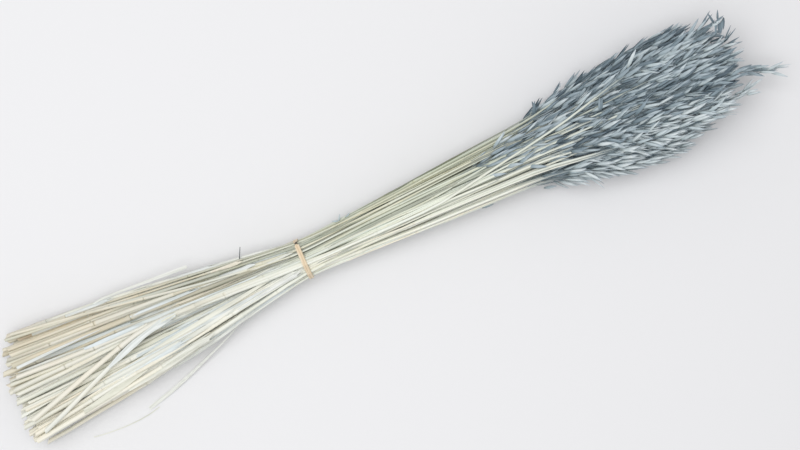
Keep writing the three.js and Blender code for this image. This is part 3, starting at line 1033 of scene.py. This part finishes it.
looseHusks = [      # where its base is and its direction, in mm, then its size and tone
    ((187, 18, 60), (0.36, 0.93, 0.1), 0.63, 0.3),
    ((188, 18, 60), (0.45, 0.89, 0.1), 0.6, 0.2),
    ((124, -21, 12), (1.0, -0.25, 0.0), 0.62, 0.6),
    ((70, -15, 8), (1.0, -0.1, 0.0), 0.6, 0.6),
    ((139, 38, 33), (0.5, 0.85, 0.1), 0.62, 0.2),
    ((142, 38.5, 33), (0.1, 1.0, 0.1), 0.55, 0.12),
    ((137, 37, 32), (0.8, 0.6, 0.1), 0.62, 0.15),
    ((-44, 22, 24), (0.5, 0.85, 0.1), 0.4, 0.75),
    ((-42, 22, 24), (-0.9, 0.45, 0.1), 0.42, 0.7),
    ((-38, 23, 24), (0.9, 0.4, 0.2), 0.35, 0.8),
]
star = [            # husks that hang from a head's tip, the same but with mm above its straw
    ((299.5, 45.5, 2), (-0.15, 1.0, 0.2), 0.54, 0.12),
    ((301, 46, 2), (1.0, 0.3, 0.1), 0.45, 0.2),
    ((305.4, 45, 2), (-0.4, -0.9, -0.1), 0.6, 0.15),
    ((301.4, 46, 2), (-0.42, -0.9, -0.2), 0.56, 0.24),
    ((308.5, 47, 2), (-0.38, -0.92, -0.1), 0.54, 0.1),
    ((299, 45, 2), (-1.0, 0.1, 0.0), 0.5, 0.15),
    ((303.6, 45.5, 2), (-0.4, -0.95, -0.1), 0.6, 0.05),
    ((307, 46, 2), (-0.42, -0.9, 0.0), 0.5, 0.2),
    ((303, 46, 2), (0.35, 0.95, 0.1), 0.5, 0.12),
]
fibre = [(-245, -58.5, 0.8), (-255, -61, 0.6), (-267, -62.2, 0.6), (-280, -62.3, 0.6),
         (-294, -61.5, 0.5), (-308, -59.5, 0.5)]
twig = [(-134.5, 21, 21), (-131.2, 29.5, 23), (-127.1, 36.6, 24.5)]
holderNear = (280 * mm, 45 * mm, 16 * mm)      # the star hangs from the highest stalk near here


def looseBits():
    pile = newPile()
    holder = highestNear(*holderNear)["line"]
    stem, tip = pointOn(holder, holderNear[0]), pointOn(holder, 300 * mm)
    hanging = [(np.array(place) + (0, 0, tip[2] / mm), *rest) for place, *rest in star]
    for place, ahead, size, tone in looseHusks + hanging:
        addHusk(pile, np.array(place) * mm, unit(ahead), 0.1, size, tone, wide=1.4)
    first, last = hanging[0][0] * mm, hanging[4][0] * mm
    for root, end in ((stem, first), (first, last)):
        addBranch(pile, (root, (root + end) / 2, end), 0.3 * mm, 0.3)
    thin = np.full(len(fibre), 0.4 * mm)
    addRibbon(pile, np.array(fibre) * mm, thin, np.zeros(len(fibre)), 0.2)
    addBranch(pile, np.array(twig) * mm, 0.5 * mm, 0.0, finish=1)
    joinedPiece("loose_bits", pile, stalkMaterials)


looseBits()
print("sheaths and bits laid")


# The rubber band: one loop wound twice, whose turns cross once at the bundle's upper edge.

rubber = {
    "width": 2.1 * mm,
    "thickness": 1.0 * mm,
    "apart": 0.95 * mm,         # each turn's middle from the band's middle
    "crossAt": 0.68,            # radians round from the bundle's side, where the turns cross
    "crossReach": 0.3,
    "lift": 0.9 * mm,
    "clear": 0.25 * mm,         # off the straws
    "easing": (-0.12, 0.12, 7),   # radians over which corners are rounded, and in how many steps
    # Painted shade: over what angle round from the crossing the band is darkened.
    "crossingShadeReach": 0.15,
    "sections": 10,
    "steps": 168,
}


def supportRound(points, angle):
    ny, nz = math.cos(angle), math.sin(angle)
    return points[np.argmax(points[:, 0] * ny + points[:, 1] * nz)]


def rubberBand():
    points = np.array([pointOn(stalk["line"], bundle["bandX"])[1:] for stalk in sum(fillers, stalks)])
    radius = strawRadius(bundle["bandX"]) * straw["vary"][1] + rubber["clear"]
    bm, along, across = flatStrip(rubber["steps"], rubber["sections"])
    crossingShade = bm.verts.layers.float.new("crossingShade")
    for vert in bm.verts:
        turn = vert[along] * 2 * math.tau
        section = (vert[across] + 1) * math.pi
        angle = turn + rubber["crossAt"]
        fromCross = min(turn, abs(turn - math.tau), 2 * math.tau - turn)
        crossing = max(0.0, 1 - fromCross / rubber["crossReach"])
        atSeam = min(turn, 2 * math.tau - turn)
        past = turn if turn < math.tau else turn - 2 * math.tau
        shift = np.clip((turn - math.tau) / rubber["crossReach"], -1, 1)
        if atSeam < rubber["crossReach"]:
            shift = -np.clip(past / rubber["crossReach"], -1, 1)
        rise = rubber["lift"] * math.sin(crossing * math.pi / 2) ** 2 * (atSeam < math.tau / 2)
        rest = np.mean([supportRound(points, angle + a) for a in np.linspace(*rubber["easing"])],
                       axis=0)
        out = radius + rubber["thickness"] / 2 * (1 + math.sin(section)) + rise
        flat = rubber["width"] / 2 * math.cos(section)
        vert[along], vert[across] = angle * 20 * mm, flat
        # Painted shade near the crossing of the turns.
        vert[crossingShade] = min(1.0, max(0.0, 1.8 - 1.8 * fromCross / rubber["crossingShadeReach"]))
        vert.co = (bundle["bandX"] + shift * rubber["apart"] + flat,
                   rest[0] + out * math.cos(angle), rest[1] + out * math.sin(angle))
    bmesh.ops.remove_doubles(bm, verts=bm.verts[:], dist=0.01 * mm)
    template = toArrays(bm)
    pile = newPile()
    grain = np.column_stack([template["along"], template["across"], template["across"] * 0.4])
    addPart(pile, template, template["co"], 0, grain, 0.5, template["crossingShade"])
    return joinedPiece("wound_band", pile, [naturalRubber()])


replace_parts(rubberBand(), "rubber_band")
print("rubber band wound")


# The floor, the light and the camera.

studio = {
    "floor": "#e4e4e6",
    "lens": 80,                   # mm, on a 36 mm wide sensor
    "sensor": 36,
    "frameWidth": 662.7 * mm,     # what the picture's width shows, at the bundle's height
    "aimHeight": 28 * mm,
    "turn": -23.9,                # degrees between the bundle and the picture's width
    "aim": (1.7 * mm, -0.6 * mm),
    "key": {"at": (-0.35, 0.2, 2.1), "size": 1.8, "power": 32.5},
    "sky": 0.54,
}


def lightAt(name, settings):
    light = bpy.data.lights.new(name, "AREA")
    light.size = settings["size"]
    light.energy = settings["power"]
    lamp = newObject(name, light)
    lamp.location = settings["at"]
    lamp.rotation_euler = (-lamp.location).to_track_quat("-Z", "Y").to_euler()


def buildStudio():
    bm = bmesh.new()
    bmesh.ops.create_grid(bm, x_segments=1, y_segments=1, size=4)
    mesh = bpy.data.meshes.new("floor")
    bm.to_mesh(mesh)
    bm.free()
    floor = newObject("floor", mesh)
    card = {"Base Color": linearColour(studio["floor"]), "Roughness": 0.9}
    mesh.materials.append(newMaterial("matt_card", card)[0])
    lightAt("key", studio["key"])
    world = bpy.data.worlds.new("studio")
    world.use_nodes = True
    sky = world.node_tree.nodes["Background"]
    sky.inputs["Color"].default_value = (1, 1, 1, 1)
    sky.inputs["Strength"].default_value = studio["sky"]
    bpy.context.scene.world = world
    bpy.context.scene.view_settings.view_transform = "Standard"
    camera = bpy.data.cameras.new("camera")
    camera.lens, camera.sensor_width = studio["lens"], studio["sensor"]
    shot = newObject("camera", camera)
    away = studio["frameWidth"] * studio["lens"] / studio["sensor"]
    shot.location = (*studio["aim"], studio["aimHeight"] + away)
    shot.rotation_euler = (0, 0, math.radians(studio["turn"]))
    bpy.context.scene.camera = shot


buildStudio()
print("studio set")
